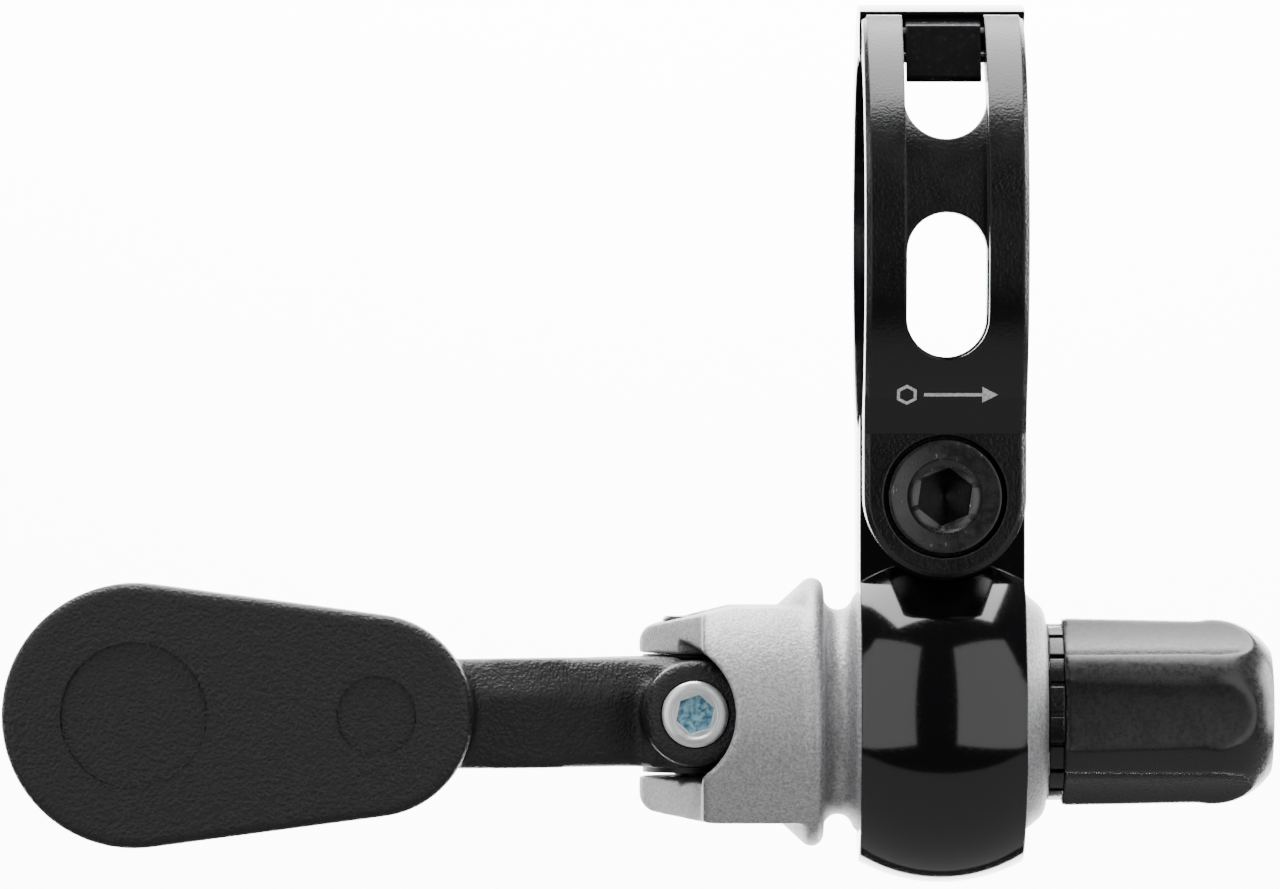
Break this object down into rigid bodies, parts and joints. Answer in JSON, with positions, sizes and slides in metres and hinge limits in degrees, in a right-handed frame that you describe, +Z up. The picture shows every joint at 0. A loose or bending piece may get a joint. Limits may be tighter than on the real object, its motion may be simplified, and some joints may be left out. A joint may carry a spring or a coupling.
{
  "type": "thumb shifter",
  "caption": "Handlebar thumb lever on a ball joint: hinged bar clamp, grey ball-ended yoke, black paddle lever with cable pinch screw, and a rubber-covered cable adjuster.",
  "frame": {"origin": "centre of the handlebar's bore at the middle of the clamp's width", "axes": "+X along the handlebar towards the stem, which is the cable adjuster's end; -Y towards the rider; +Z up, with the ball joint hanging below the bar"},
  "size_m": [0.075, 0.0282, 0.0521],
  "materials": {
    "gloss_anodised": "polished, black anodised",
    "satin_anodised": "bead blasted, black anodised",
    "black_oxide_steel": "black oxide on steel",
    "grey_anodised": "bead blasted, grey anodised",
    "bush_polymer": "moulded, matt",
    "textured_coat": "matt black textured coating on aluminium",
    "zinc_steel": "zinc plated",
    "black_rubber": "glossy moulded rubber"
  },
  "bodies": {
    "clamp": {"clamp_frame": "gloss_anodised", "hinge_pin": "black_oxide_steel"},
    "strap": {"front_strap": "satin_anodised"},
    "bolt": {"clamp_bolt": "black_oxide_steel"},
    "yoke": {"ball_yoke": "grey_anodised", "pivot_axle": "black_oxide_steel", "adjuster_spring": "zinc_steel"},
    "thumb_lever": {"lever": "textured_coat", "upper_bush": "bush_polymer", "lower_bush": "bush_polymer"},
    "pinch": {"pinch_screw": "zinc_steel"},
    "adjuster": {"adjuster_barrel": "satin_anodised", "adjuster_cover": "black_rubber"}
  },
  "joints": [
    {"name": "strap_hinge", "type": "hinge", "parent": "clamp", "child": "strap", "pos_m": [0, -0.0044, 0.01186], "axis": [-1, 0, 0], "range_deg": [0, 3]},
    {"name": "clamp_bolt_travel", "type": "slide", "parent": "clamp", "child": "bolt", "axis": [0, -1, 0], "range_m": [0, 0.00164]},
    {"name": "ball_swivel", "type": "hinge", "parent": "clamp", "child": "yoke", "pos_m": [0, 0, -0.0279], "axis": [1, 0, 0], "continuous": true},
    {"name": "lever_pivot", "type": "hinge", "parent": "yoke", "child": "thumb_lever", "pos_m": [-0.0143, 0.0052, -0.0279], "axis": [0, 0, -1], "range_deg": [0, 45]},
    {"name": "pinch_screw_travel", "type": "slide", "parent": "thumb_lever", "child": "pinch", "axis": [0, -1, 0], "range_m": [0, 0.0015]},
    {"name": "adjuster_turn", "type": "hinge", "parent": "yoke", "child": "adjuster", "pos_m": [0.01, 0, -0.0279], "axis": [1, 0, 0], "continuous": true}
  ],
  "couplings": [
    {"joint": "clamp_bolt_travel", "follows": "strap_hinge", "m_per_rad": 0.0313}
  ]
}
